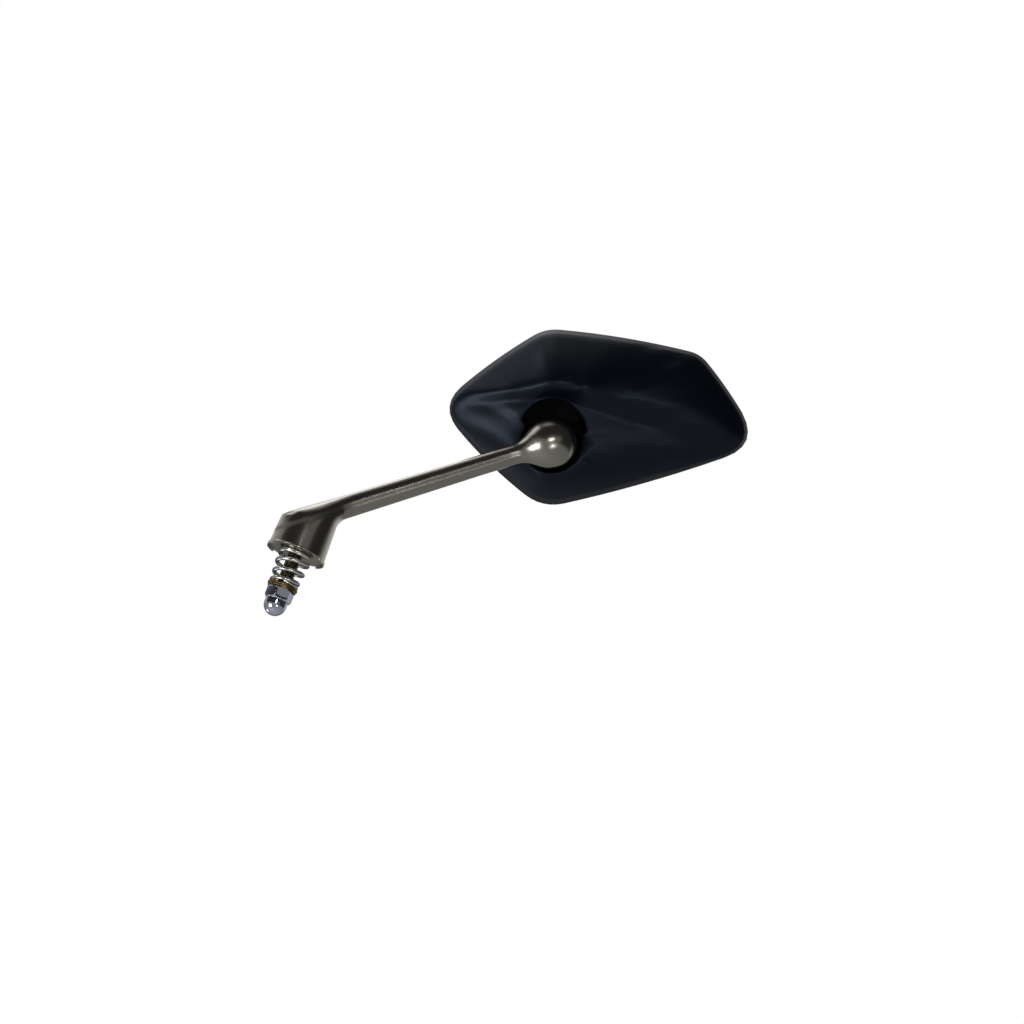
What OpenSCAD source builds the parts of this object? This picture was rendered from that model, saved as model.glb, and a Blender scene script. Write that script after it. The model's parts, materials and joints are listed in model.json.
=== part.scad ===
// Left-hand motorcycle mirror on a spring-clamped folding foot.
// Millimetres. The origin is the centre of the seat cup's rim, where it meets the bracket.
// +Z runs up the clamp stud, +X points away from the motorcycle and +Y to the rider.

/* [Foot and arm] */
// Diameter of the cast foot where it stands on the seat cup
foot_d = 31; // [30.1:0.1:31.9]
// Height of the foot's wall on the side that the arm leans to
foot_h = 22.3; // [21:0.1:25]
// Radius of the fillet under the arm
fillet_r = 9; // [7:0.5:11]
// Angle of the arm above the bracket
arm_rise = 40.2; // [36:0.5:45]
// Length of the straight arm, from the foot's fillet to the centre of the ball
arm_reach = 117.1; // [105:0.1:130]
// Diameter of the arm at the foot
arm_root_d = 12.2; // [11.4:0.1:13]
// Diameter of the arm behind the ball
arm_neck_d = 10.4; // [9.8:0.1:11]
// Diameter of the ball at the arm's end
ball_d = 26.4; // [26:0.1:27]

/* [Clamp] */
// Outside diameter of the seat cup under the foot
cup_d = 32; // [32:0.1:34]
// Height of the seat cup
cup_h = 2; // [1.8:0.1:2.6]
// Thickness of the seat cup's sheet
cup_t = 0.8; // [0.6:0.1:1]
// Width of the two lugs that stay of the cup's wall, at its left and right
lug_w = 19; // [14:0.5:24]
// Diameter of the clamp stud
stud_d = 8; // [8]
// Diameter of the spring's wire
wire_d = 2.4; // [2.2:0.1:2.6]
// Outside diameter of the spring's wide end
spring_top_d = 19.3; // [18.6:0.1:20.4]
// Outside diameter of the spring's narrow end
spring_low_d = 16; // [15.6:0.1:17]
// Depth of the spring's narrow end below the bracket face
spring_low = 17.7; // [16.8:0.1:20]
// Width across the flats of the cap nut
nut_af = 13; // [13]
// Height of the cap nut
nut_h = 15; // [14:0.1:16]
// Turn of the nut's flats about the stud
nut_turn = 11.5; // [0:0.5:30]

/* [Head] */
// Width of the head along its longest line
head_w = 159.4; // [150:0.1:168]
// Height of the head
head_h = 93.6; // [90:0.1:98]
// Lean of the head about the crossways axis
head_lean = 15; // [12:0.5:18]
// Turn of the head in its own plane
head_turn = 21.9; // [18:0.1:26]
// Depth of the ball's centre behind the front rim
ball_depth = 33; // [32.5:0.1:34]
// Thickness of the housing's wall
wall = 2.5; // [2:0.1:2.8]
// Height of the shoulder where the side wall turns into the back
rim_h = 8; // [7.5:0.1:9]
// Height of the ball opening's edge, at the middle
lip_h = 24.3; // [23.8:0.1:24.6]
// Radius of the round opening about the ball
opening_r = 15.6; // [15.3:0.1:16]
// Radius of the wider opening under the brow
hood_r = 17.5; // [17.2:0.1:17.8]

/* [Mirror glass] */
// Radius of curvature of the convex glass
glass_curve = 1200; // [1000:50:1500]
// Thickness of the glass
glass_t = 2; // [1.8:0.1:2.2]
// Gap between the glass and the housing's rim
glass_gap = 0.4; // [0.3:0.1:0.8]

/* [Ball joint] */
// Clearance between two spherical faces that slide
slide_gap = 0.1; // [0.05:0.01:0.12]
// Largest tilt of the head each way about one axis
tilt_max = 12; // [8:1:12]

/* [Hidden] */
$fn = 64;

// The arm's line: along it, and across it on the upper side
ALONG = [cos(arm_rise), sin(arm_rise)];
ACROSS = [-sin(arm_rise), cos(arm_rise)];
foot_r = foot_d / 2;
// The foot's wall leans in by this much for each millimetre of height
foot_taper = 0.045;
FILLET = [foot_r - foot_taper * foot_h + fillet_r, foot_h];
arm_root_r = arm_root_d / 2;
ARM_START = FILLET + ACROSS * (fillet_r + arm_root_r);
BALL = ARM_START + ALONG * arm_reach;
ball_r = ball_d / 2;
// Reach that the places of the arm's sections are drawn for
design_reach = 117.1;
arm_sides = 40;

stud_r = stud_d / 2;
// Running clearance of the washers and the cup about the stud
stud_gap = 0.3;
// Height of the stud's upper end in the foot, and how far its lower end goes into the nut
stud_in_foot = 13.5;
stud_in_nut = 10;
washer_t = 1;
spring_washer_d = 16.6;
plain_washer_d = 15.8;
nut_top = -spring_low - 2 * washer_t;

// The head's corners, clockwise from the inner one: place, length cut by the round, bow of the next side
CORNERS = [[-59.3, 20, 15.2, 2.2], [-3.1, 61, 7.2, 1.9], [78.9, 47.5, 5.9, 1.8],
    [110.5, -0.7, 19.7, 2.4], [-4.6, -34.3, 11.5, 3.2]];
// Size of the head that the corners are drawn for
design_w = 158.4;
design_h = 93;
head_kx = head_w / design_w;
head_ky = head_h / design_h;
corner_steps = 6;
side_step = 7;

function lerp(a, b, t) = a + (b - a) * t;
function unit(v) = v / norm(v);
function left_of(v) = [-v.y, v.x];
function clamp01(t) = min(1, max(0, t));
function ease(t) = let (c = clamp01(t)) c * c * (3 - 2 * c);
// Smooth minimum and maximum of two heights, rounded over k
function smin(a, b, k) = min(a, b) - pow(max(k - abs(a - b), 0), 2) / (4 * k);
function smax(a, b, k) = -smin(-a, -b, k);

// Outline of the head

function corner(i) = let (c = CORNERS[(i + 5) % 5]) [c[0] * head_kx, c[1] * head_ky];
function cut(i) = CORNERS[(i + 5) % 5][2];
function bow(i) = CORNERS[(i + 5) % 5][3];
function side_len(i) = norm(corner(i + 1) - corner(i));
function side_point(i, s) = lerp(corner(i), corner(i + 1), s)
    + left_of(unit(corner(i + 1) - corner(i))) * 4 * bow(i) * s * (1 - s);
function corner_point(i, t) =
    let (a = side_point(i - 1, 1 - cut(i) / side_len(i - 1)), b = side_point(i, cut(i) / side_len(i)))
    a * pow(1 - t, 2) + corner(i) * 2 * t * (1 - t) + b * t * t;
function side_steps(i) = round(side_len(i) / side_step);

OUTLINE = [for (i = [0:4]) each concat(
    [for (t = [0:corner_steps - 1]) corner_point(i, t / corner_steps)],
    let (s0 = cut(i) / side_len(i), s1 = 1 - cut(i + 1) / side_len(i), n = side_steps(i))
    [for (k = [0:n - 1]) side_point(i, lerp(s0, s1, k / n))])];
rays = len(OUTLINE);

function outline_normal(k) =
    unit(left_of(OUTLINE[(k + 1) % rays] - OUTLINE[(k + rays - 1) % rays]));
NORMALS = [for (k = [0:rays - 1]) outline_normal(k)];
function inset(d) = [for (k = [0:rays - 1]) OUTLINE[k] - NORMALS[k] * d];
function shrunk(f) = [for (p = OUTLINE) lerp(GLASS_CENTRE, p, f)];

// Back surface of the head, as heights along rays from the ball's axis

edge_h = 3.5;
edge_run = 2.6;
lip_rise = 0.8;
// The edge is higher than that away from the arm, which needs room to dip
lip_extra = 2.2;
neck_side = 197;
lower_bulge = 1.5;
HOOD = [0.3, 6.1];
// Start and end of the wider opening, in degrees from the head's own right
HOOD_FROM = 12;
HOOD_TO = 149;
hood_ramp = 5;
// The two straight lines of the brow's foot and of its ridge: height on the ball's axis, left and right slope
FOOT_LINE = [25.3, 0.127, -0.33];
RIDGE_LINE = [32, 0.135, -0.176];
// Steepness and rounding of the upper back, and steepness of the band under the brow, by direction
UPPER_SLOPE = [[-20, 0.8], [0, 0.8], [17, 0.95], [31, 1.05], [60, 1.3], [95, 1.2], [120, 1.15], [170, 1.1]];
UPPER_ROUND = [[-20, 0.009], [0, 0.009], [31, 0.0125], [60, 0.01], [95, 0.004], [170, 0.003]];
BAND_SLOPE = [[-20, 0.5], [5, 0.5], [17, 0.57], [31, 0.74], [60, 1.45], [90, 1.8], [120, 1.16], [150, 0.4],
    [170, 0.25]];
ridge_round = 2.5;
foot_round = 1.6;

RADII = [for (p = OUTLINE) norm(p)];
// Angle of each ray, from -150 to 210 degrees so that the brow's stretch has no jump
function wrap(a) = a < -150 ? a + 360 : a;
ANGLES = [for (p = OUTLINE) wrap(atan2(p.y, p.x))];
FACING = [for (k = [0:rays - 1]) NORMALS[k] * unit(OUTLINE[k])];

function hood_mix(a) = ease((a - HOOD_FROM) / hood_ramp) * ease((HOOD_TO - a) / hood_ramp);
function hood_reach(a) = let (c = HOOD * [cos(a), sin(a)]) c + sqrt(c * c - HOOD * HOOD + hood_r * hood_r);
function lip_radius(a) = lerp(opening_r, hood_reach(a), hood_mix(a));
function lip_height(a) =
    let (away = abs(wrap(a - neck_side + 180)), side = min(away, 360 - away))
    lip_h + lip_rise * sin(a) + lip_extra * ease((150 - side) / 40);

// Distance of a point above a bent line, and the radius at which a ray meets that line
function above(line, p) = smax((p.y - line[0] - line[1] * p.x) / sqrt(1 + pow(line[1], 2)),
    (p.y - line[0] - line[2] * p.x) / sqrt(1 + pow(line[2], 2)), 3);
function one_reach(h, slope, a) = let (d = sin(a) - slope * cos(a)) d > 0.01 ? h / d : 9999;
function reach(line, a) = min(one_reach(line[0], line[1], a), one_reach(line[0], line[2], a));

function lower_back(a, s) = rim_h + (lip_height(a) - rim_h) * (1 - pow(clamp01(s), lower_bulge));
function upper_back(a, d) =
    let (m = lookup(a, UPPER_SLOPE), c = lookup(a, UPPER_ROUND), e = min(d, m / (2 * c)))
    rim_h + m * e - c * e * e;
function rim_round(d) = edge_h + (rim_h - edge_h) * sqrt(1 - pow(1 - min(d, 3) / 3, 2)) + 2.5 * max(0, d - 1);
function below_brow(a) = ease((a + 18) / 14) * ease((178 - a) / 12);

// Height of the back over the front rim, on ray k at radius r
function back_height(k, r) =
    let (a = ANGLES[k], d = (RADII[k] - r) * FACING[k], lip = lip_radius(a), s = (r - lip) / (RADII[k] - lip),
        low = lower_back(a, s), over = above(FOOT_LINE, unit(OUTLINE[k]) * r),
        band = low + lookup(a, BAND_SLOPE) * below_brow(a) * smax(over, 0, foot_round),
        top = smin(upper_back(a, d) + 30 * (1 - below_brow(a)), band, ridge_round))
    smin(top, rim_round(d), 1.2);

function nearest_ray(p) =
    let (a = wrap(atan2(p.y, p.x)), gaps = [for (b = ANGLES) min(abs(a - b), 360 - abs(a - b))])
    search(min(gaps), gaps)[0];
function height_at(p) = back_height(nearest_ray(p), norm(p));
// A boss ends inside the wall, below the lowest point of the back over its rim
function boss_top(p, r) = min([for (a = [0:45:315]) height_at(p + r * [cos(a), sin(a)])]) - 0.6;

// Rings of the housing on ray k: the opening's edge, the lower face, the band, the upper face, the rim
LOWER_STEPS = [0.1, 0.28, 0.46, 0.64, 0.8, 0.92, 1];
BAND_STEPS = [0.1, 0.3, 0.55, 0.8, 0.93, 1];
UPPER_STEPS = [0.07, 0.18, 0.35, 0.55, 0.75, 0.9, 1];
EDGE_STEPS = [1.7, 0.9, 0.35, 0.08, 0];

function foot_part(k, edge) =
    let (a = ANGLES[k], lip = lip_radius(a))
    min(0.84, max(0.04, (reach(FOOT_LINE, a) - lip) / (edge - lip)));
function ridge_part(k, edge) =
    let (lip = lip_radius(ANGLES[k]), f = foot_part(k, edge))
    min(0.92, max(f + 0.06, (reach(RIDGE_LINE, ANGLES[k]) - lip) / (edge - lip)));
function outer_radii(k) =
    let (lip = lip_radius(ANGLES[k]), edge = RADII[k] - edge_run / FACING[k],
        f = foot_part(k, edge), g = ridge_part(k, edge))
    concat([for (t = LOWER_STEPS) lerp(lip, edge, f * t)],
        [for (t = BAND_STEPS) lerp(lip, edge, lerp(f, g, t))],
        [for (t = UPPER_STEPS) lerp(lip, edge, lerp(g, 1, t))],
        [for (t = EDGE_STEPS) RADII[k] - t / FACING[k]]);

// The inner skin lies one wall under the back, measured square to it
function inner_height(k, r) =
    let (slope = (back_height(k, r + 0.5) - back_height(k, r - 0.5)) / FACING[k])
    back_height(k, r) - wall * sqrt(1 + slope * slope);
function inner_radii(k) =
    let (lip = lip_radius(ANGLES[k]) + collar_t, edge = RADII[k] - (wall + 1) / FACING[k],
        f = foot_part(k, edge), g = ridge_part(k, edge))
    [for (t = [1, (1 + g) / 2, g, (f + g) / 2, f, f * 0.5, 0]) lerp(lip, edge, t)];

collar_t = 2;
// Level of the carrier's seat inside the head, and a hair of room over it
seat_w = 12.5;
seat_gap = 0.1;

function at(k, r, w) = let (e = unit(OUTLINE[k])) [e.x * r, e.y * r, w];
function housing_ray(k) =
    let (a = ANGLES[k], lip = lip_radius(a), rim = RADII[k], skin = rim - wall / FACING[k])
    concat([at(k, lip, lip_height(a) - 1)], [at(k, lip + 0.35, lip_height(a) - 0.25)],
        [for (r = outer_radii(k)) at(k, r, back_height(k, r))],
        [at(k, rim, 1.6), at(k, rim - 0.3, 0.5), at(k, rim - 1, 0), at(k, skin, 0), at(k, skin, edge_h)],
        [for (r = inner_radii(k)) at(k, r, max(edge_h + 0.3, inner_height(k, r)))],
        [at(k, lip + collar_t, seat_w + seat_gap), at(k, lip, seat_w + seat_gap)]);

// Skin of a closed ring of loops, given as rows of points that all have the same length
function ring_faces(rows, n) = [for (i = [0:rows - 1], j = [0:n - 1])
    each let (a = i * n + j, b = i * n + (j + 1) % n, c = ((i + 1) % rows) * n + (j + 1) % n,
        d = ((i + 1) % rows) * n + j) [[a, b, c], [a, c, d]]];

// Screws and bosses, in the head's plane

CARRIER_SPOTS = [[-16, 17], [19, 15], [4, -20.5]];
PLATE_SPOTS = [[-30, 20], [8, 46], [62, 27], [52, -2]];
carrier_boss_r = 4;
plate_boss_r = 3.6;
screw_r = 1.5;
// Room about a screw in the part that it holds, and beyond its tip in the boss
screw_gap = 0.2;
tip_gap = 0.8;
screw_head_r = 2.8;
// How deep the screws go into their bosses
carrier_bite = 4.7;
plate_bite = 5.4;
// The carrier's plate, the foot and height of its flare, and its ears
carrier_t = 2.5;
carrier_r = 17;
flare_r = 12.5;
flare_h = 12;
ear_r = 5;
ear_w = 8;
// Plane of the glass stack: depth of the glass's crown below the rim, pad and plate thickness
glass_crown = 0.4;
pad_t = 0.8;
plate_t = 2;
GLASS_CENTRE = [25, 13];
// The backing plate is this share of the head's outline, about the glass's centre
plate_share = 0.8;
plate_level = glass_crown + glass_t + pad_t;
// How much deeper than its crown the curved glass lies at a place
function sag(p) = pow(norm(p - GLASS_CENTRE), 2) / (2 * glass_curve);
// Level of the floor of a screw head's recess in the backing plate, and of the boss behind the plate
head_sink = 1.2;
function sink_floor(p) = plate_level + sag(p) + head_sink;
function plate_back(p) = plate_level + plate_t + sag(p) + seat_gap;

// The head's own frame: its origin is on the rim plane in front of the ball, +Z runs out of its back
module head_frame() {
    translate([BALL.x, 0, BALL.y]) rotate([90 + head_lean, 0, 0]) rotate([0, 0, head_turn])
        translate([0, 0, -ball_depth]) children();
}

// The joint's frame: the same directions, with the origin at the ball's centre
module joint_frame() {
    head_frame() translate([0, 0, ball_depth]) children();
}

// Foot and arm

// A section of the arm: upper point, lower point, half depth across, squareness
function arm_line(t, side) = ARM_START + ALONG * t + ACROSS * side;
function round_section(t, r) = [arm_line(t, r), arm_line(t, -r), r, 2];
function wall_x(z) = foot_r - foot_taper * (z - cup_h);
// Where the foot's outer wall would meet the arm's upper line
corner_z = let (p = arm_line(0, arm_root_r), slope = tan(arm_rise))
    (p.y - slope * (p.x + foot_r)) / (1 - slope * foot_taper);
CORNER = [-wall_x(corner_z), corner_z];
CORNER_UP = arm_line(0, arm_root_r) - CORNER;

function foot_section(f, b, n) =
    let (z = lerp(cup_h, corner_z, f), zi = lerp(cup_h, foot_h, f))
    [[-wall_x(z), z], [wall_x(zi), zi], b, n];
function fan_section(f, b, n) =
    let (a = lerp(180, 90 + arm_rise, f))
    [CORNER + CORNER_UP * lerp(0.09, 1, f), FILLET + fillet_r * [cos(a), sin(a)], b, n];
function ball_section(a) =
    let (c = ARM_START + ALONG * (arm_reach - ball_r * cos(a)), r = ball_r * sin(a))
    [c + ACROSS * r, c - ACROSS * r, r, 2];
neck_r = arm_neck_d / 2;
// Neck: distance from the ball's centre, and radius as a share of the way from the arm's to the ball's
NECK = [[30, 0.02], [25, 0], [21.5, 0.01], [19, 0.04], [17, 0.1], [15.2, 0.19], [13.6, 0.3], [12, 0.43],
    [10.4, 0.58], [8.7, 0.72], [6.8, 0.845], [4.6, 0.94]];
FOOT_DESIGN_D = 30.6;
FOOT_SECTIONS = [[0, 15.3, 2], [0.35, 14.95, 2], [0.7, 14.6, 2.05], [0.88, 14.3, 2.15], [0.97, 14, 2.25]];
FAN_SECTIONS = [[0, 13.6, 2.3], [0.16, 12.9, 2.3], [0.34, 11.7, 2.25], [0.52, 10.3, 2.2], [0.7, 8.8, 2.15],
    [0.86, 7.4, 2.05], [1, 6.3, 2]];
ARM_SECTIONS = concat(
    [for (s = FOOT_SECTIONS) foot_section(s[0], s[1] * foot_d / FOOT_DESIGN_D, s[2])],
    [for (s = FAN_SECTIONS) fan_section(s[0], s[1] * foot_d / FOOT_DESIGN_D, s[2])],
    [for (t = [6, 16, 30, 45, 60, 75])
        round_section(t * arm_reach / design_reach, lerp(arm_root_r, neck_r, t / 90))],
    [for (s = NECK) round_section(arm_reach - s[0], lerp(neck_r, ball_r, s[1]))],
    [for (a = [80:10:170]) ball_section(a)]);

function power(x, n) = sign(x) * pow(abs(x), 2 / n);
function section_point(s, j) =
    let (a = 360 * j / arm_sides, c = (s[0] + s[1]) / 2, half = (s[0] - s[1]) / 2,
        q = c + half * power(cos(a), s[3]))
    [q.x, s[2] * power(sin(a), s[3]), q.y];

module arm_body() {
    rows = len(ARM_SECTIONS);
    tip = ARM_START + ALONG * (arm_reach + ball_r);
    points = concat([for (s = ARM_SECTIONS, j = [0:arm_sides - 1]) section_point(s, j)], [[tip.x, 0, tip.y]]);
    sides = [for (i = [0:rows - 2], j = [0:arm_sides - 1])
        each let (a = i * arm_sides + j, b = i * arm_sides + (j + 1) % arm_sides)
        [[a, a + arm_sides, b], [b, a + arm_sides, b + arm_sides]]];
    last = (rows - 1) * arm_sides;
    crown = [for (j = [0:arm_sides - 1]) [last + j, rows * arm_sides, last + (j + 1) % arm_sides]];
    polyhedron(points, concat([[for (j = [0:arm_sides - 1]) j]], sides, crown), convexity = 6);
}

// Ball joint: spherical shells about the ball's centre, from the arm's hollow ball inwards

hollow_r = 9.5;
liner_t = 0.8;
shell_t = 1.8;
inner_liner_t = 0.7;
shell_r = hollow_r - liner_t - 2 * slide_gap;
bore_r = shell_r - shell_t;
dome_r = bore_r - inner_liner_t - 2 * slide_gap;
bolt_r = 2.5;
bolt_gap = 0.1;
post_r = 3.4;
post_end = shell_r - shell_t + 0.3;
// The head tilts about two axes, so its steepest tilt is larger than either
both_tilt = acos(cos(tilt_max) * cos(tilt_max));
port = atan(post_r / post_end) + both_tilt + 2;
ball_cut = 4;
// Radius of the hollow's mouth, which widens towards the cut
mouth_r = hollow_r + 0.9;
// Level of the pressure dome's flat top, clear of the post
dome_top = 4.4;
spring_stack = 2;
// Thickness of the washer under the bolt's head, and how deep the springs lie before the ball's centre
joint_washer_t = 1;
spring_seat = 1;
spring_r = 5;
head_seat = spring_seat + spring_stack + joint_washer_t;
bolt_head_r = 4.25;
bolt_head_h = 3.5;
bolt_end = 10.8;

// Part of a spherical shell about the origin, from the port's edge down to a level
module dome_shell(r_out, r_in, low) {
    difference() {
        sphere(r = r_out);
        sphere(r = r_in);
        translate([0, 0, low - 2 * r_out]) cube(4 * r_out, center = true);
        cylinder(h = 2 * r_out, r1 = 0, r2 = 2 * r_out * tan(port));
    }
}

module arm() {
    color([0.42, 0.41, 0.37]) difference() {
        arm_body();
        translate([0, 0, cup_h - 1]) cylinder(h = stud_in_foot + 1.5, r = stud_r);
        joint_frame() difference() {
            union() {
                translate([0, 0, -ball_cut - ball_r]) cylinder(h = ball_r, r = ball_r + 2);
                sphere(r = hollow_r);
                translate([0, 0, -ball_cut - 0.5]) cylinder(h = ball_cut + 0.5, r1 = mouth_r, r2 = hollow_r);
                cylinder(h = bolt_end + 0.4, r = bolt_r);
            }
            translate([0, 0, post_end]) difference() {
                cylinder(h = hollow_r - post_end + 0.5, r = post_r);
                translate([0, 0, -1]) cylinder(h = hollow_r, r = bolt_r);
            }
        }
    }
}

module joint_bolt() {
    // Corner radius of a socket for a 4 mm key
    socket_r = 2.3;
    color([0.55, 0.55, 0.56]) joint_frame() difference() {
        union() {
            translate([0, 0, -head_seat]) cylinder(h = bolt_end + head_seat, r = bolt_r);
            translate([0, 0, -head_seat - bolt_head_h]) cylinder(h = bolt_head_h, r = bolt_head_r);
        }
        translate([0, 0, -head_seat - bolt_head_h - 0.1]) cylinder(h = 2.1, r = socket_r, $fn = 6);
    }
}

module pressure_dome() {
    color([0.6, 0.6, 0.6]) joint_frame() difference() {
        sphere(r = dome_r);
        translate([0, 0, -2 * dome_r - spring_seat]) cube(4 * dome_r, center = true);
        translate([0, 0, -dome_r]) cylinder(h = 3 * dome_r, r = bolt_r + bolt_gap);
        translate([0, 0, dome_top]) cylinder(h = dome_r, r = dome_r);
    }
}

// Two disc springs set face to face, so that they touch at their outer edges
module disc_springs() {
    t = 0.5;
    rise = spring_stack / 2 - t;
    hole = bolt_r + bolt_gap;
    color([0.5, 0.5, 0.52]) joint_frame() translate([0, 0, -spring_seat]) {
        translate([0, 0, -spring_stack]) rotate_extrude() {
            polygon([[hole, 0], [spring_r, rise], [spring_r, rise + t], [hole, t]]);
        }
        rotate_extrude() {
            polygon([[hole, 0], [hole, -t], [spring_r, -rise - t], [spring_r, -rise]]);
        }
    }
}

module joint_washer() {
    color([0.7, 0.7, 0.7]) joint_frame() translate([0, 0, -head_seat]) difference() {
        cylinder(h = joint_washer_t, r = spring_r);
        translate([0, 0, -1]) cylinder(h = joint_washer_t + 2, r = bolt_r + bolt_gap);
    }
}

// The outer liner ends above the part of the column that comes up when the head tilts
module friction_liner() {
    low = shell_r * sin(tilt_max);
    color([0.85, 0.85, 0.8]) joint_frame() dome_shell(hollow_r - slide_gap, shell_r + slide_gap, low);
}

module inner_liner() {
    color([0.85, 0.85, 0.8]) joint_frame() dome_shell(bore_r - slide_gap, dome_r + slide_gap, -0.5);
}

// Half of the carrier's section: a column with a domed top, flared into a round plate
module carrier_section() {
    low = seat_w - carrier_t;
    past = 20;
    difference() {
        union() {
            translate([0, ball_depth]) circle(r = shell_r);
            translate([0, low]) square([shell_r, ball_depth - low]);
            polygon([[0, low], [carrier_r, low], [carrier_r, seat_w], [flare_r, seat_w],
                [shell_r - 0.4, seat_w + flare_h], [0, seat_w + flare_h]]);
        }
        translate([0, ball_depth]) circle(r = bore_r);
        translate([-1, low - 1]) square([bore_r + 1, ball_depth - low + 1]);
        translate([-past, 0]) square([past, ball_depth + past]);
        polygon([[0, ball_depth], [past * tan(port), ball_depth + past], [0, ball_depth + past]]);
    }
}

// The ball rides on the carrier's dome; a second disc closes the opening under the brow
module socket_carrier() {
    inner_r = (flare_r + carrier_r) / 2;
    color([0.09, 0.09, 0.1]) head_frame() difference() {
        union() {
            rotate_extrude() carrier_section();
            translate([0, 0, seat_w - carrier_t]) difference() {
                translate([HOOD.x, HOOD.y, 0]) cylinder(h = carrier_t, r = hood_r + collar_t);
                translate([0, 0, -1]) cylinder(h = carrier_t + 2, r = inner_r);
            }
            for (p = CARRIER_SPOTS) {
                translate([p.x, p.y, seat_w - carrier_t]) cylinder(h = carrier_t, r = ear_r);
                translate([0, 0, seat_w - carrier_t]) rotate([0, 0, atan2(p.y, p.x)])
                    translate([inner_r, -ear_w / 2, 0]) cube([norm(p) - inner_r, ear_w, carrier_t]);
            }
        }
        for (p = CARRIER_SPOTS) {
            translate([p.x, p.y, 0]) cylinder(h = ball_depth, r = screw_r + screw_gap);
        }
    }
}

// A screw whose head's seat is at the origin, with a hexagon socket
module pan_screw(shank, head_h) {
    socket_r = 1.3;
    socket_depth = 1;
    difference() {
        union() {
            cylinder(h = shank, r = screw_r);
            translate([0, 0, -head_h]) cylinder(h = head_h, r = screw_head_r);
        }
        translate([0, 0, -head_h - 0.1]) cylinder(h = socket_depth + 0.1, r = socket_r, $fn = 6);
    }
}

module carrier_screws() {
    color([0.7, 0.7, 0.68]) head_frame() {
        for (p = CARRIER_SPOTS) {
            translate([p.x, p.y, seat_w - carrier_t]) pan_screw(carrier_t + carrier_bite, 1.9);
        }
    }
}

module housing() {
    points = [for (k = [0:rays - 1]) each housing_ray(k)];
    n = len(housing_ray(0));
    color([0.1, 0.12, 0.15]) head_frame() difference() {
        union() {
            polyhedron(points, ring_faces(rays, n), convexity = 10);
            for (p = CARRIER_SPOTS) {
                translate([p.x, p.y, seat_w + seat_gap])
                    cylinder(h = boss_top(p, carrier_boss_r) - seat_w - seat_gap, r = carrier_boss_r);
            }
            for (p = PLATE_SPOTS) {
                translate([p.x, p.y, plate_back(p)])
                    cylinder(h = boss_top(p, plate_boss_r) - plate_back(p), r = plate_boss_r);
            }
        }
        for (p = CARRIER_SPOTS) {
            translate([p.x, p.y, seat_w]) cylinder(h = carrier_bite + tip_gap, r = screw_r);
        }
        for (p = PLATE_SPOTS) {
            translate([p.x, p.y, plate_back(p) - 1]) cylinder(h = plate_bite + tip_gap + 1, r = screw_r);
        }
    }
}

// Part of a shallow spherical shell that follows the glass, between two depths behind its crown
module curved_sheet(near, far, points) {
    intersection() {
        translate([0, 0, -2]) linear_extrude(height = 20) polygon(points);
        translate([GLASS_CENTRE.x, GLASS_CENTRE.y, glass_crown + glass_curve]) difference() {
            sphere(r = glass_curve - near, $fn = 200);
            sphere(r = glass_curve - far, $fn = 200);
        }
    }
}

module mirror_glass() {
    color([0.75, 0.8, 0.85]) head_frame() curved_sheet(0, glass_t, inset(wall + glass_gap));
}

module adhesive_pad() {
    color([0.2, 0.2, 0.2]) head_frame() curved_sheet(glass_t, glass_t + pad_t, shrunk(plate_share - 0.02));
}

module backing_plate() {
    color([0.15, 0.15, 0.16]) head_frame() difference() {
        curved_sheet(glass_t + pad_t, glass_t + pad_t + plate_t, shrunk(plate_share));
        for (p = PLATE_SPOTS) {
            translate([p.x, p.y, 0]) cylinder(h = seat_w, r = screw_r + screw_gap);
            translate([p.x, p.y, 0]) cylinder(h = sink_floor(p), r = screw_head_r + 0.3);
        }
    }
}

module plate_screws() {
    color([0.7, 0.7, 0.68]) head_frame() {
        for (p = PLATE_SPOTS) {
            translate([p.x, p.y, sink_floor(p)]) pan_screw(plate_back(p) - sink_floor(p) + plate_bite, 1);
        }
    }
}

// Clamp under the foot

module seat_cup() {
    r = cup_d / 2;
    hole = stud_r + stud_gap;
    bevel = 0.3;
    side = [2 * cup_d, cup_d, cup_h - cup_t + 1];
    color([0.8, 0.8, 0.82]) difference() {
        rotate_extrude() polygon([[hole, cup_h - cup_t], [r - cup_t, cup_h - cup_t], [r - cup_t, 0], [r, 0],
            [r, cup_h - bevel], [r - bevel, cup_h], [hole, cup_h]]);
        for (turn = [0, 180]) {
            rotate([0, 0, turn]) translate([-cup_d, lug_w / 2, -1]) cube(side);
        }
    }
}

// Coil of round wire: its height and radius follow the turn, and both end turns lie flat
wire_sides = 10;
turn_steps = 22;
spring_turns = 4.15;
coil_top = cup_h - cup_t - wire_d / 2;
coil_low = -spring_low + wire_d / 2;
// Direction of the wire's upper end, and the turns at which the coil starts and stops to climb
coil_start = 320;
CLIMB = [0.25, 3.4];
function coil_share(t) = let (u = clamp01((t - CLIMB[0]) / (CLIMB[1] - CLIMB[0]))) lerp(u, ease(u), 0.15);
function coil_point(t, b) =
    let (a = coil_start - 360 * t, u = coil_share(t),
        r = lerp(spring_top_d - wire_d, spring_low_d - wire_d, u) / 2 + wire_d / 2 * cos(b))
    [r * cos(a), r * sin(a), lerp(coil_top, coil_low, u) + wire_d / 2 * sin(b)];

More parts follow.
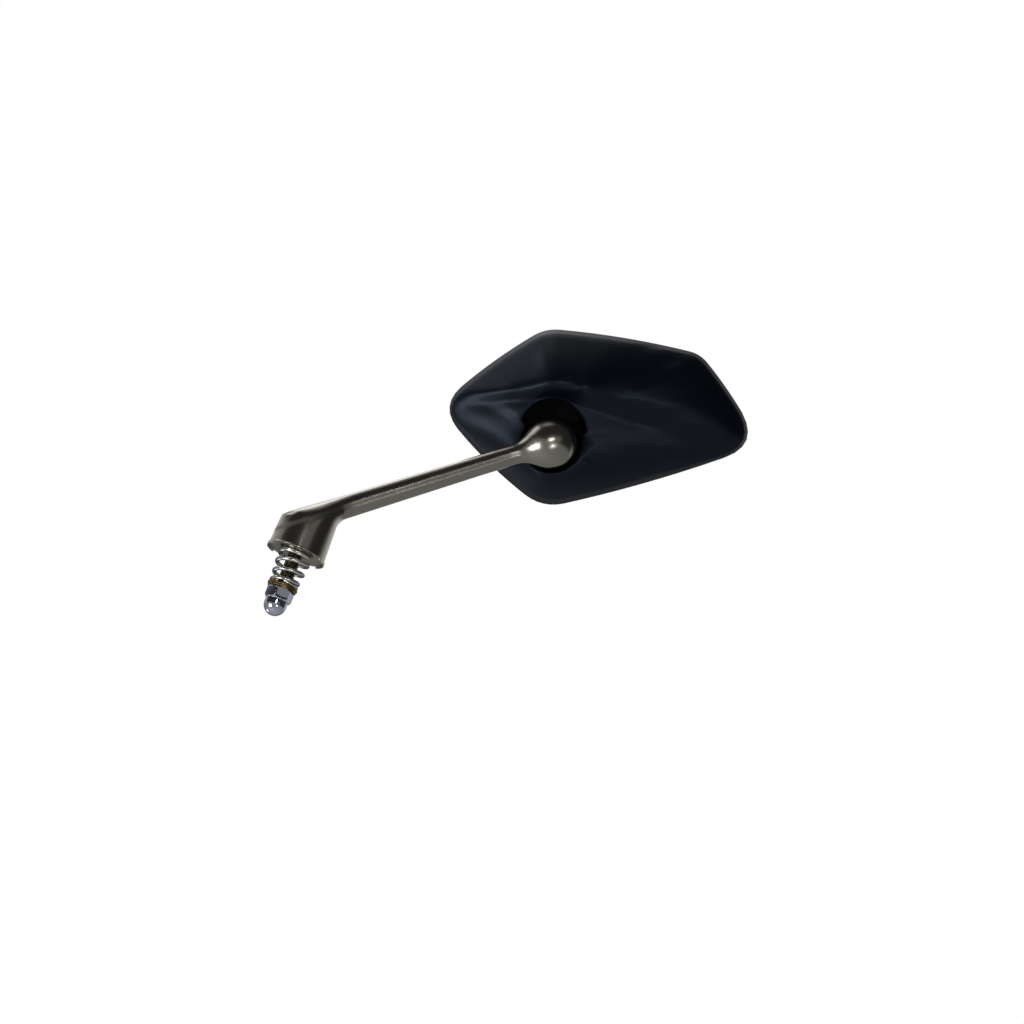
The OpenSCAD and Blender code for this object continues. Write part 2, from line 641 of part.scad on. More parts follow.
module fold_spring() {
    n = round(spring_turns * turn_steps);
    points = [for (i = [0:n], j = [0:wire_sides - 1]) coil_point(i / turn_steps, 360 * j / wire_sides)];
    sides = [for (i = [0:n - 1], j = [0:wire_sides - 1])
        each let (a = i * wire_sides + j, b = i * wire_sides + (j + 1) % wire_sides)
        [[a, b, a + wire_sides], [b, b + wire_sides, a + wire_sides]]];
    first = [for (j = [wire_sides - 1:-1:0]) j];
    last = [for (j = [0:wire_sides - 1]) n * wire_sides + j];
    color([0.8, 0.8, 0.83]) polyhedron(points, concat([first], sides, [last]), convexity = 10);
}

module ring_washer(top, outer_d) {
    translate([0, 0, top - washer_t]) difference() {
        cylinder(h = washer_t, r = outer_d / 2);
        translate([0, 0, -1]) cylinder(h = washer_t + 2, r = stud_r + stud_gap);
    }
}

module spring_washer() {
    color([0.72, 0.62, 0.35]) ring_washer(-spring_low, spring_washer_d);
}

module plain_washer() {
    color([0.68, 0.58, 0.33]) ring_washer(-spring_low - washer_t, plain_washer_d);
}

// Domed nut: a chamfered hexagon under a neck and a round crown, with a blind thread
module cap_nut() {
    hex_h = 6.5;
    crown_r = nut_af / 2 - 0.4;
    bevel = 1.1;
    flat_r = nut_af / 2 - 0.2;
    wide_r = nut_af / (2 * cos(30)) + 0.1;
    color([0.78, 0.79, 0.82]) translate([0, 0, nut_top]) rotate([0, 0, nut_turn]) difference() {
        union() {
            translate([0, 0, -hex_h]) intersection() {
                cylinder(h = hex_h, r = nut_af / (2 * cos(30)), $fn = 6);
                rotate_extrude() polygon([[0, 0], [flat_r, 0], [wide_r, bevel], [wide_r, hex_h - bevel],
                    [flat_r, hex_h], [0, hex_h]]);
            }
            translate([0, 0, -nut_h + crown_r]) cylinder(h = nut_h - crown_r - hex_h + 0.5, r = crown_r);
            translate([0, 0, -nut_h + crown_r]) sphere(r = crown_r);
        }
        translate([0, 0, -stud_in_nut - 1]) cylinder(h = stud_in_nut + 2, r = stud_r);
    }
}

module clamp_stud() {
    low = nut_top - stud_in_nut;
    color([0.5, 0.46, 0.36]) translate([0, 0, low]) cylinder(h = cup_h + stud_in_foot - low, r = stud_r);
}

seat_cup();
fold_spring();
spring_washer();
plain_washer();
cap_nut();
clamp_stud();
arm();
joint_bolt();
pressure_dome();
disc_springs();
joint_washer();
friction_liner();
inner_liner();
socket_carrier();
carrier_screws();
housing();
backing_plate();
plate_screws();
adhesive_pad();
mirror_glass();
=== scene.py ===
"""Looks of a left-hand motorcycle mirror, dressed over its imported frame.

The frame's solids give every place and size. This script copies the ones that
show, rounds and smooths the copies, models the spring and the stud's thread
afresh, and gives every piece its finish.
"""

import json
import logging
import math
from dataclasses import dataclass
from enum import Enum

import bpy
from mathutils import Matrix, Vector

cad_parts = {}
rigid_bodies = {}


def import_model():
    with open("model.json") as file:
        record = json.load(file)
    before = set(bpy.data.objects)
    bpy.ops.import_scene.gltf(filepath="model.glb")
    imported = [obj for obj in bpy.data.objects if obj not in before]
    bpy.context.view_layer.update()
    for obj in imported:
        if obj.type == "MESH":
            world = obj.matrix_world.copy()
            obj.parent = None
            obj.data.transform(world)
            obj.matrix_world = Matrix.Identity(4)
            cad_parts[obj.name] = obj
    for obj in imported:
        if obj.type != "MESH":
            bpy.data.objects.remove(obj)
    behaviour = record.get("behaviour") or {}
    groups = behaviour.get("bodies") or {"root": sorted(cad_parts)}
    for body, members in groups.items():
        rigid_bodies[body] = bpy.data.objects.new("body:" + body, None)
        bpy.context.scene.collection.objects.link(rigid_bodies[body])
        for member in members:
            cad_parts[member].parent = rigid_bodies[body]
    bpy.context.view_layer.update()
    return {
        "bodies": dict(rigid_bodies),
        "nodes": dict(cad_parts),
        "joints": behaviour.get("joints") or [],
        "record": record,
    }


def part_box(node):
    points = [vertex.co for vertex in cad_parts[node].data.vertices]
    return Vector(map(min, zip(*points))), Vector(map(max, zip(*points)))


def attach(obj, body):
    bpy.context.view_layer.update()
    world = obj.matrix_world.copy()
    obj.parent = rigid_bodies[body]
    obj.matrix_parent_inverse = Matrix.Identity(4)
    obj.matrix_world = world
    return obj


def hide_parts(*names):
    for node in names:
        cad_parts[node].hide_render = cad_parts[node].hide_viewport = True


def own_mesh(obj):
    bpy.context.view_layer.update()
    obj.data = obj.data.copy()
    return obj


log = logging.getLogger("mirror")

MM = 0.001

# Distance under which two points of a copied solid become one, and two points of a modelled seam
MERGE = 0.002 * MM
SEAM = 0.001 * MM

# Edges sharper than this many degrees stay sharp, where a piece has no angle of its own
SHARP_ANGLE = 30.0

# Radius of the glass's front, and how far below its crown a point still counts as the crown
GLASS_CURVE = 1200 * MM
CROWN_DEPTH = 0.005 * MM

# Detail of the fine grain, and of the slow mottling and the specks
FINE_DETAIL = 2.0
SLOW_DETAIL = 3.0

# Range of the mottling that changes a finish's gloss, and strength of its fine relief
MOTTLE_LOW, MOTTLE_HIGH = 0.3, 0.7
RELIEF_STRENGTH = 0.6

# Blend at which the angle to the eye is read
RIM_BLEND = 0.5

# Places of the colour sockets on a Mix node
MIX_FIRST, MIX_SECOND, MIX_RESULT = 6, 7, 2

Colour = tuple[float, float, float]
Value = float | Colour | bpy.types.NodeSocket

WHITE: Colour = (1.0, 1.0, 1.0)


class Surface(Enum):
    """How a surface was made; a turned one has tool rings in place of grain."""

    MOULDED = "moulded"
    CAST = "cast"
    TURNED = "turned"
    POLISHED = "polished"


class Slot(Enum):
    """Material slots of the frame's record."""

    CUP = "zinc_plate"
    SPRING = "spring_wire"
    WASHER = "yellow_zinc"
    NUT = "nut_chrome"
    STUD = "stud_steel"
    ARM = "arm_nickel"
    INNER = "inner_steel"
    LINER = "liner_plastic"
    CARRIER = "carrier_plastic"
    SCREW = "screw_zinc"
    HOUSING = "housing_plastic"
    PLATE = "plate_plastic"
    PAD = "pad_foam"
    GLASS = "mirror"


# Shader nodes and shared effects


class Nodes:
    """A tree of shader nodes, with short ways to add to it."""

    def __init__(self, tree: bpy.types.NodeTree) -> None:
        """Take a tree.

        Args:
            tree: The tree that the nodes go into.
        """
        self.tree = tree

    def node(self, kind: str, **values: object) -> bpy.types.Node:
        """Add a node and set its properties.

        Args:
            kind: Type name of the node.
            values: Properties of the node, by name.

        Returns:
            The new node.
        """
        made = self.tree.nodes.new(kind)
        for key, value in values.items():
            setattr(made, key, value)
        return made

    def feed(self, socket: bpy.types.NodeSocket, value: Value) -> None:
        """Link a socket to another, or set it.

        Args:
            socket: The input.
            value: Socket, number, vector or colour that it gets.
        """
        if isinstance(value, bpy.types.NodeSocket):
            self.tree.links.new(value, socket)
        elif socket.type == "RGBA":
            socket.default_value = (*value, 1.0)
        else:
            socket.default_value = value

    def filled(self, kind: str, values: tuple[Value, ...], **settings: object) -> bpy.types.Node:
        """Add a node and feed its inputs in order.

        Args:
            kind: Type name of the node.
            values: What its first inputs get.
            settings: Properties of the node, by name.

        Returns:
            The new node.
        """
        made = self.node(kind, **settings)
        for socket, value in zip(made.inputs, values):
            self.feed(socket, value)
        return made

    def math(self, operation: str, *values: Value) -> bpy.types.NodeSocket:
        """Work out a number from numbers."""
        return self.filled("ShaderNodeMath", values, operation=operation).outputs["Value"]

    def vector(self, operation: str, *values: Value) -> bpy.types.NodeSocket:
        """Work out a vector from vectors."""
        return self.filled("ShaderNodeVectorMath", values, operation=operation).outputs["Vector"]

    def measure(self, operation: str, *values: Value) -> bpy.types.NodeSocket:
        """Work out a number from vectors."""
        return self.filled("ShaderNodeVectorMath", values, operation=operation).outputs["Value"]

    def apart(self, vector: bpy.types.NodeSocket) -> tuple[bpy.types.NodeSocket, ...]:
        """Take a vector apart into its three numbers."""
        return tuple(self.filled("ShaderNodeSeparateXYZ", (vector,)).outputs)

    def place(self) -> bpy.types.NodeSocket:
        """Point on the object, in its own coordinates."""
        return self.node("ShaderNodeTexCoord").outputs["Object"]

    def noise(self, scale: Value, detail: float) -> bpy.types.NodeSocket:
        """Noise over the object.

        Args:
            scale: Waves per metre.
            detail: Number of finer layers.

        Returns:
            The socket of the noise.
        """
        made = self.node("ShaderNodeTexNoise")
        self.feed(made.inputs["Vector"], self.place())
        self.feed(made.inputs["Scale"], scale)
        self.feed(made.inputs["Detail"], detail)
        return made.outputs["Fac"]

    def ramp(self, value: bpy.types.NodeSocket, low: float, high: float, to_low: float = 0.0,
             to_high: float = 1.0, shape: str = "LINEAR") -> bpy.types.NodeSocket:
        """Map one range to another, and hold the ends.

        Args:
            value: Number to map.
            low: Value that gives to_low.
            high: Value that gives to_high.
            to_low: Result at low.
            to_high: Result at high.
            shape: Name of the curve between them.

        Returns:
            The socket of the result.
        """
        made = self.node("ShaderNodeMapRange", interpolation_type=shape)
        self.feed(made.inputs["Value"], value)
        for name, number in (("From Min", low), ("From Max", high), ("To Min", to_low), ("To Max", to_high)):
            self.feed(made.inputs[name], number)
        return made.outputs["Result"]

    def mix(self, mask: bpy.types.NodeSocket, first: Value, second: Value) -> bpy.types.NodeSocket:
        """Mix two colours.

        Args:
            mask: Share of the second colour.
            first: Colour or socket at mask 0.
            second: Colour or socket at mask 1.

        Returns:
            The socket of the mixed colour.
        """
        made = self.node("ShaderNodeMix", data_type="RGBA")
        self.feed(made.inputs["Factor"], mask)
        self.feed(made.inputs[MIX_FIRST], first)
        self.feed(made.inputs[MIX_SECOND], second)
        return made.outputs[MIX_RESULT]

    def shader(self, kind: str, colour: Value) -> bpy.types.NodeSocket:
        """Add a shader of one colour."""
        made = self.node(kind)
        self.feed(made.inputs["Color"], colour)
        return made.outputs[0]

    def mix_shader(self, *values: bpy.types.NodeSocket) -> bpy.types.NodeSocket:
        """Mix two shaders: the share of the second, the first and the second."""
        return self.filled("ShaderNodeMixShader", values).outputs[0]

    def effect(self, group: "EffectGroup", **values: float) -> bpy.types.Node:
        """Place a shared group.

        Args:
            group: The shared group.
            values: Values of the group's inputs.

        Returns:
            The group's node.
        """
        made = self.node("ShaderNodeGroup", node_tree=group.tree)
        for key, value in values.items():
            self.feed(made.inputs[key], value)
        return made


class EffectGroup(Nodes):
    """A shader node group with named inputs and outputs that several finishes use."""

    def __init__(self, name: str, inputs: dict[str, float], outputs: tuple[str, ...]) -> None:
        """Make the empty group.

        Args:
            name: Name of the group.
            inputs: Input names with their default values.
            outputs: Names of the values that it puts out.
        """
        super().__init__(bpy.data.node_groups.new(name, "ShaderNodeTree"))
        for key, value in inputs.items():
            socket = self.tree.interface.new_socket(name=key, in_out="INPUT", socket_type="NodeSocketFloat")
            socket.default_value = value
        for key in outputs:
            self.tree.interface.new_socket(name=key, in_out="OUTPUT", socket_type="NodeSocketFloat")
        self.source = self.node("NodeGroupInput")
        self.target = self.node("NodeGroupOutput")


def grain_group() -> EffectGroup:
    """Fine texture of a surface, with slow mottling.

    Returns:
        A group with inputs Size (metres), Patch (metres) and outputs Height and Mottle.
    """
    group = EffectGroup("fine_grain", {"Size": 0.3 * MM, "Patch": 20 * MM}, ("Height", "Mottle"))
    for size, detail, result in (("Size", FINE_DETAIL, "Height"), ("Patch", SLOW_DETAIL, "Mottle")):
        scale = group.math("DIVIDE", 1.0, group.source.outputs[size])
        group.feed(group.target.inputs[result], group.noise(scale, detail))
    return group


def ring_group() -> EffectGroup:
    """Fine tool rings about the stud's axis.

    Returns:
        A group with input Pitch (metres) and output Height.
    """
    group = EffectGroup("tool_rings", {"Pitch": 0.2 * MM}, ("Height",))
    x, y, z = group.apart(group.place())
    square = group.math("ADD", group.math("MULTIPLY", x, x), group.math("MULTIPLY", y, y))
    reach = group.math("ADD", group.math("SQRT", square), z)
    turns = group.math("DIVIDE", reach, group.source.outputs["Pitch"])
    wave = group.math("SINE", group.math("MULTIPLY", turns, math.tau))
    group.feed(group.target.inputs["Height"], group.math("MULTIPLY", group.math("ADD", wave, 1.0), 0.5))
    return group


@dataclass
class Effects:
    """The shared groups, built once."""

    grain: EffectGroup
    rings: EffectGroup

    @classmethod
    def build(cls) -> "Effects":
        """Build the two groups."""
        return cls(grain_group(), ring_group())


# Finishes

# Colour that bright metal reflects at its outline
STEEL_EDGE: Colour = (0.45, 0.46, 0.5)


@dataclass(frozen=True)
class Finish:
    """Finish of one material: colours, gloss, the size and depth of its texture, and a rim colour painted as
    dark reflection at its outline.
    """

    name: str
    colour: Colour
    second: Colour
    metallic: float
    roughness: float
    surface: Surface
    spread: float = 0.08
    grain: float = 0.3 * MM
    patch: float = 15 * MM
    depth: float = 0.02 * MM
    specular: float = 0.5
    sheen: Colour = WHITE
    # Rim colour: a painted dark reflection, mixed in where the surface curves away from the eye
    painted_rim_reflection: Colour | None = None
    rim_from: float = 0.35
    rim_to: float = 0.85
    quiet_rim: bool = False
    rim_specular: float = 0.04

    def build(self, effects: Effects) -> bpy.types.Material:
        """Make the node material.

        Args:
            effects: The shared groups.

        Returns:
            The material.
        """
        material = bpy.data.materials.new(self.name)
        material.use_nodes = True
        material.diffuse_color = (*self.colour, 1.0)
        nodes = Nodes(material.node_tree)
        shader = material.node_tree.nodes["Principled BSDF"]
        grain = nodes.effect(effects.grain, Size=self.grain, Patch=self.patch)
        tint = nodes.mix(grain.outputs["Mottle"], self.colour, self.second)
        specular = self.specular
        if self.quiet_rim:
            specular = nodes.ramp(self.rim_mask(nodes), 0.0, 1.0, self.specular, self.rim_specular)
        # Painted reflection: the rim colour darkens the outline where the surface curves away from the eye
        if self.painted_rim_reflection:
            tint = nodes.mix(self.rim_mask(nodes), tint, self.painted_rim_reflection)
        tint, rough = self.marks(nodes, tint, self.gloss(nodes, grain.outputs["Mottle"]))
        height = grain.outputs["Height"]
        if self.surface is Surface.TURNED:
            height = nodes.effect(effects.rings, Pitch=self.grain).outputs["Height"]
        for name, value in (("Base Color", tint), ("Metallic", self.metallic), ("Roughness", rough),
                            ("Specular IOR Level", specular), ("Specular Tint", self.sheen),
                            ("Normal", self.relief(nodes, height))):
            nodes.feed(shader.inputs[name], value)
        return material

    def relief(self, nodes: Nodes, height: bpy.types.NodeSocket) -> bpy.types.NodeSocket:
        """Normal of the surface with its fine texture."""
        bump = nodes.node("ShaderNodeBump")
        nodes.feed(bump.inputs["Distance"], self.depth)
        nodes.feed(bump.inputs["Strength"], RELIEF_STRENGTH)
        nodes.feed(bump.inputs["Height"], height)
        return bump.outputs["Normal"]

    def rim_mask(self, nodes: Nodes) -> bpy.types.NodeSocket:
        """Mask of the stretches that curve away from the eye, where the rim colour is painted as dark
        reflection and the specular is lowered.
        """
        facing = nodes.node("ShaderNodeLayerWeight")
        nodes.feed(facing.inputs["Blend"], RIM_BLEND)
        return nodes.ramp(facing.outputs["Facing"], self.rim_from, self.rim_to, shape="SMOOTHSTEP")

    def marks(self, nodes: Nodes, tint: bpy.types.NodeSocket,
              rough: bpy.types.NodeSocket) -> tuple[bpy.types.NodeSocket, bpy.types.NodeSocket]:
        """Add marks that only this finish has; the plain finish has none.

        Args:
            nodes: The material's nodes.
            tint: Colour so far.
            rough: Roughness so far.

        Returns:
            The colour and the roughness to use.
        """
        return tint, rough

    def gloss(self, nodes: Nodes, mottle: bpy.types.NodeSocket) -> bpy.types.NodeSocket:
        """Roughness that changes slowly over the surface."""
        return nodes.ramp(mottle, MOTTLE_LOW, MOTTLE_HIGH,
                          self.roughness - self.spread / 2, self.roughness + self.spread / 2)


@dataclass(frozen=True)
class CastFinish(Finish):
    """Satin cast metal with the rough line that the two halves of its mould left; the darkened band along it
    is partly that line's own tone and partly painted shade for the dark reflection along the arm's middle.
    """

    start: tuple[float, float, float] = (0.0, 0.0, 0.0)
    across: tuple[float, float, float] = (0.0, 0.0, 1.0)
    line_width: float = 1.7 * MM
    line_core: float = 0.34 * MM
    # Colour of the band: partly the parting line's own tone, partly painted shade for the dark reflection
    # along the arm
    line_and_shade_colour: Colour = (0.1, 0.09, 0.07)
    line_rough: float = 0.6
    speck_scale: float = 1800.0
    line_start: float = 17 * MM
    line_full: float = 32 * MM

    def marks(self, nodes: Nodes, tint: bpy.types.NodeSocket,
              rough: bpy.types.NodeSocket) -> tuple[bpy.types.NodeSocket, bpy.types.NodeSocket]:
        """Darken and roughen the band along the mould's parting plane, which fades out before the ball; the
        darkening is partly the line's own tone and partly painted shade.

        Args:
            nodes: The material's nodes.
            tint: Colour so far.
            rough: Roughness so far.

        Returns:
            The colour and the roughness with the band.
        """
        offset = nodes.vector("SUBTRACT", nodes.place(), self.start)
        level = nodes.math("ABSOLUTE", nodes.measure("DOT_PRODUCT", offset, self.across))
        band = nodes.ramp(level, self.line_width, self.line_core)
        reach = nodes.ramp(nodes.measure("LENGTH", offset), self.line_start, self.line_full)
        specks = nodes.noise(self.speck_scale, SLOW_DETAIL)
        share = nodes.math("MULTIPLY", nodes.math("MULTIPLY", band, reach), specks)
        rougher = nodes.math("MULTIPLY_ADD", share, self.line_rough, rough)
        # Painted shade together with the line's own tone: the band darkens towards its colour
        return nodes.mix(share, tint, self.line_and_shade_colour), rougher


@dataclass(frozen=True)
class GlassFinish(Finish):
    """Silvered glass that curves evenly about one point."""

    centre: tuple[float, float, float] = (0.0, 0.0, 0.0)

    def relief(self, nodes: Nodes, height: bpy.types.NodeSocket) -> bpy.types.NodeSocket:
        """Normal of the even curve, away from its centre."""
        offset = nodes.vector("SUBTRACT", nodes.place(), self.centre)
        return nodes.filled("ShaderNodeVectorTransform", (offset,), vector_type="NORMAL",
                            convert_from="OBJECT", convert_to="WORLD").outputs["Vector"]


# Tools for the pieces


def deselect() -> None:
    """Leave edit mode and select nothing."""
    if bpy.context.object and bpy.context.object.mode != "OBJECT":
        bpy.ops.object.mode_set(mode="OBJECT")
    bpy.ops.object.select_all(action="DESELECT")


def activate(piece: bpy.types.Object) -> None:
    """Select one object alone and make it active."""
    deselect()
    piece.select_set(True)
    bpy.context.view_layer.objects.active = piece


def edit_all(piece: bpy.types.Object) -> None:
    """Go into edit mode on one object with everything selected."""
    activate(piece)
    bpy.ops.object.mode_set(mode="EDIT")
    bpy.ops.mesh.select_all(action="SELECT")


def apply_modifier(piece: bpy.types.Object, kind: str, **values: object) -> None:
    """Add a modifier to a piece and apply it.

    Args:
        piece: The piece.
        kind: Type name of the modifier.
        values: Its settings, by name.
    """
    modifier = piece.modifiers.new(kind.lower(), kind)
    for key, value in values.items():
        setattr(modifier, key, value)
    activate(piece)
    bpy.ops.object.modifier_apply(modifier=modifier.name)


def shade(piece: bpy.types.Object, degrees: float) -> None:
    """Shade a piece smooth, but for edges sharper than an angle."""
    activate(piece)
    bpy.ops.object.shade_smooth_by_angle(angle=math.radians(degrees))


@dataclass
class Dresser:
    """Makes pieces ride on their bodies and wear their finishes."""

    frame: dict
    finishes: dict[Slot, bpy.types.Material]

    def copy(self, node: str, name: str, merge: float = MERGE) -> bpy.types.Object:
        """Copy a solid of the frame, with its loose triangles joined.

        Args:
            node: Name of the frame's node.
            name: Name of the new piece.
            merge: Distance under which two points become one.

        Returns:
            The copy, at the origin.
        """
        piece = bpy.data.objects.new(name, self.frame["nodes"][node].data.copy())
        piece.data.materials.clear()
        bpy.context.scene.collection.objects.link(piece)
        edit_all(piece)
        bpy.ops.mesh.remove_doubles(threshold=merge)
        deselect()
        return piece

    def dress(self, piece: bpy.types.Object, slot: Slot) -> None:
        """Give a piece one finish all over."""
        piece.data.materials.clear()
        piece.data.materials.append(self.finishes[slot])

    def stand_in(self, piece: bpy.types.Object, node: str, body: str, slot: Slot) -> None:
        """Dress a piece, let it ride and let it stand for a node of the frame.

        Args:
            piece: The finished piece.
            node: The node that it replaces.
            body: The body that it rides on.
            slot: Its finish.
        """
        self.dress(piece, slot)
        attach(piece, body)
        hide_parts(node)
        log.info("%s: %d faces on %s", piece.name, len(piece.data.polygons), body)

    def keep(self, node: str, slot: Slot) -> None:
        """Give a solid of the frame that stays as it is its finish."""
        solid = self.frame["nodes"][node]
        solid.data.materials.clear()
        solid.data.materials.append(self.finishes[slot])
        log.info("%s: kept", node)


# Sub-assemblies


@dataclass
class Clamp:
    """Seat cup, spring, washers, stud and cap nut under the foot."""

    dresser: Dresser

    # Spring: its ends, wire, outer widths and turns, and where and how evenly it climbs
    spring_top: float = 1.2 * MM
    spring_foot: float = -17.7 * MM
    wire: float = 2.4 * MM
    top_width: float = 19.3 * MM
    foot_width: float = 16.0 * MM
    turns: float = 4.15
    start: float = math.radians(320)
    climb_from: float = 0.25
    climb_to: float = 3.4
    climb_ease: float = 0.15

    # Spring: how far it is pressed together, and how finely its wire is modelled
    lift: float = 2.0 * MM
    steps_per_turn: int = 56
    wire_resolution: int = 6
    wire_angle: float = 40.0

    # Stud: its thread, the thread's profile, the chamfer at its ends, and its grid
    stud_radius: float = 4.0 * MM
    root_radius: float = 3.35 * MM
    thread_pitch: float = 1.25 * MM
    thread_flank: float = 2.3
    thread_root: float = 0.65
    chamfer: float = 0.8 * MM
    rings_per_turn: int = 10
    stud_sides: int = 48
    thread_angle: float = 50.0

    # Rounded edges of cup, washers and nut: widths, steps, and the angles of a flat face and of an edge
    sheet_round: float = 0.15 * MM
    nut_round: float = 0.2 * MM
    round_steps: int = 3
    flat_angle: float = 0.5
    edge_angle: float = 25.0

    def build(self) -> None:
        """Build the clamp's pieces."""
        self.rounded("seat_cup", "base", Slot.CUP, self.sheet_round)
        self.rounded("spring_washer", "clamp", Slot.WASHER, self.sheet_round)
        self.rounded("plain_washer", "clamp", Slot.WASHER, self.sheet_round)
        self.rounded("cap_nut", "arm", Slot.NUT, self.nut_round)
        self.spring()
        self.stud()

    def rounded(self, node: str, body: str, slot: Slot, width: float) -> None:
        """Copy a turned or pressed piece and round its edges.

        Args:
            node: The frame's node.
            body: The body that it rides on.
            slot: Its finish.
            width: Width of the rounded edges.
        """
        piece = self.dresser.copy(node, node + "_rounded")
        edit_all(piece)
        bpy.ops.mesh.dissolve_limited(angle_limit=math.radians(self.flat_angle))
        deselect()
        apply_modifier(piece, "BEVEL", width=width, segments=self.round_steps, limit_method="ANGLE",
                       angle_limit=math.radians(self.edge_angle), use_clamp_overlap=True)
        shade(piece, SHARP_ANGLE)
        self.dresser.stand_in(piece, node, body, slot)

    def coil_point(self, turn: float) -> Vector:
        """Centre of the spring's wire after a number of turns from its top."""
        u = min(1.0, max(0.0, (turn - self.climb_from) / (self.climb_to - self.climb_from)))
        share = u + self.climb_ease * (u * u * (3 - 2 * u) - u)
        angle = self.start - math.tau * turn
        radius = ((self.top_width - self.wire) * (1 - share) + (self.foot_width - self.wire) * share) / 2
        high, low = self.spring_top - self.wire / 2, self.spring_foot + self.wire / 2
        return Vector((radius * math.cos(angle), radius * math.sin(angle), high + (low - high) * share))

    def spring(self) -> None:
        """Model the spring as round wire along its coil, with two cut ends."""
        steps = round(self.turns * self.steps_per_turn)
        deselect()
        bpy.ops.curve.primitive_nurbs_path_add()
        piece = bpy.context.object
        piece.name = "spring_coil"
        curve = piece.data
        curve.splines.clear()
        spline = curve.splines.new("POLY")
        spline.points.add(steps)
        for i, point in enumerate(spline.points):
            point.co = (*self.coil_point(self.turns * i / steps), 1.0)
        curve.bevel_depth = self.wire / 2
        curve.bevel_resolution = self.wire_resolution
        curve.use_fill_caps = True
        activate(piece)
        bpy.ops.object.convert(target="MESH")
        piece = bpy.context.object
        edit_all(piece)
        bpy.ops.mesh.remove_doubles(threshold=SEAM)
        bpy.ops.mesh.normals_make_consistent(inside=False)
        deselect()
        shade(piece, self.wire_angle)
        self.dresser.stand_in(piece, "fold_spring", "base", Slot.SPRING)
        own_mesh(piece)

    def stud(self) -> None:
        """Model the stud with its thread, as a grid rolled about the axis."""
        low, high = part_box("clamp_stud")
        rings = round((high[2] - low[2]) / self.thread_pitch * self.rings_per_turn)
        deselect()
        bpy.ops.mesh.primitive_grid_add(x_subdivisions=self.stud_sides, y_subdivisions=rings, size=1)
        piece = bpy.context.object
        piece.name = "stud_thread"
        for vertex in piece.data.vertices:
            angle = math.tau * (vertex.co.x + 0.5)
            share = vertex.co.y + 0.5
            z = low[2] + (high[2] - low[2]) * share
            radius = self.thread_radius(z, angle, min(z - low[2], high[2] - z))
            vertex.co = (radius * math.cos(angle), radius * math.sin(angle), z)
        edit_all(piece)
        bpy.ops.mesh.remove_doubles(threshold=SEAM)
        bpy.ops.mesh.select_all(action="DESELECT")
        bpy.ops.mesh.select_non_manifold()
        bpy.ops.mesh.edge_face_add()
        bpy.ops.mesh.select_all(action="SELECT")
        bpy.ops.mesh.normals_make_consistent(inside=False)
        deselect()
        shade(piece, self.thread_angle)
        self.dresser.stand_in(piece, "clamp_stud", "arm", Slot.STUD)

    def thread_radius(self, z: float, angle: float, end: float) -> float:
        """Radius of the stud at a height and an angle.

        Args:
            z: Height.
            angle: Angle about the axis.
            end: Distance to the nearer end, where the stud is chamfered.

        Returns:
            The radius.
        """
        turn = (z / self.thread_pitch - angle / math.tau) % 1.0
        tooth = min(1.0, max(0.0, self.thread_flank * (1 - abs(2 * turn - 1)) - self.thread_root))
        radius = self.root_radius + (self.stud_radius - self.root_radius) * tooth
        return min(radius, self.stud_radius - max(0.0, self.chamfer - end))


@dataclass
class Arm:
    """The casting of foot, tube and hollow ball."""

    dresser: Dresser
    rise: float = math.radians(40.2)
    smooth_angle: float = 32.0

    def build(self) -> None:
        """Copy the casting and smooth it."""
        piece = self.dresser.copy("arm", "arm_casting")
        shade(piece, self.smooth_angle)
        self.dresser.stand_in(piece, "arm", "arm", Slot.ARM)


@dataclass
class BallJoint:
    """The pieces inside the ball and the column that it rides on."""

    dresser: Dresser

    def build(self) -> None:
        """Dress the inner pieces, and smooth the carrier, which shows in the recess."""
        for node, slot in (("joint_bolt", Slot.INNER), ("pressure_dome", Slot.INNER),
                           ("disc_springs", Slot.INNER), ("joint_washer", Slot.INNER),
                           ("friction_liner", Slot.LINER), ("inner_liner", Slot.LINER),
                           ("carrier_screws", Slot.SCREW)):
            self.dresser.keep(node, slot)
        piece = self.dresser.copy("socket_carrier", "carrier_column")
        shade(piece, SHARP_ANGLE)
        self.dresser.stand_in(piece, "socket_carrier", "head", Slot.CARRIER)


@dataclass(frozen=True)
class SoftPatch:
    """Stretch of the housing's back that is smoothed.

    It lies about the ball, between two angles in degrees and two radii.
    """

    start: float
    end: float
    near: float
    far: float
    passes: int


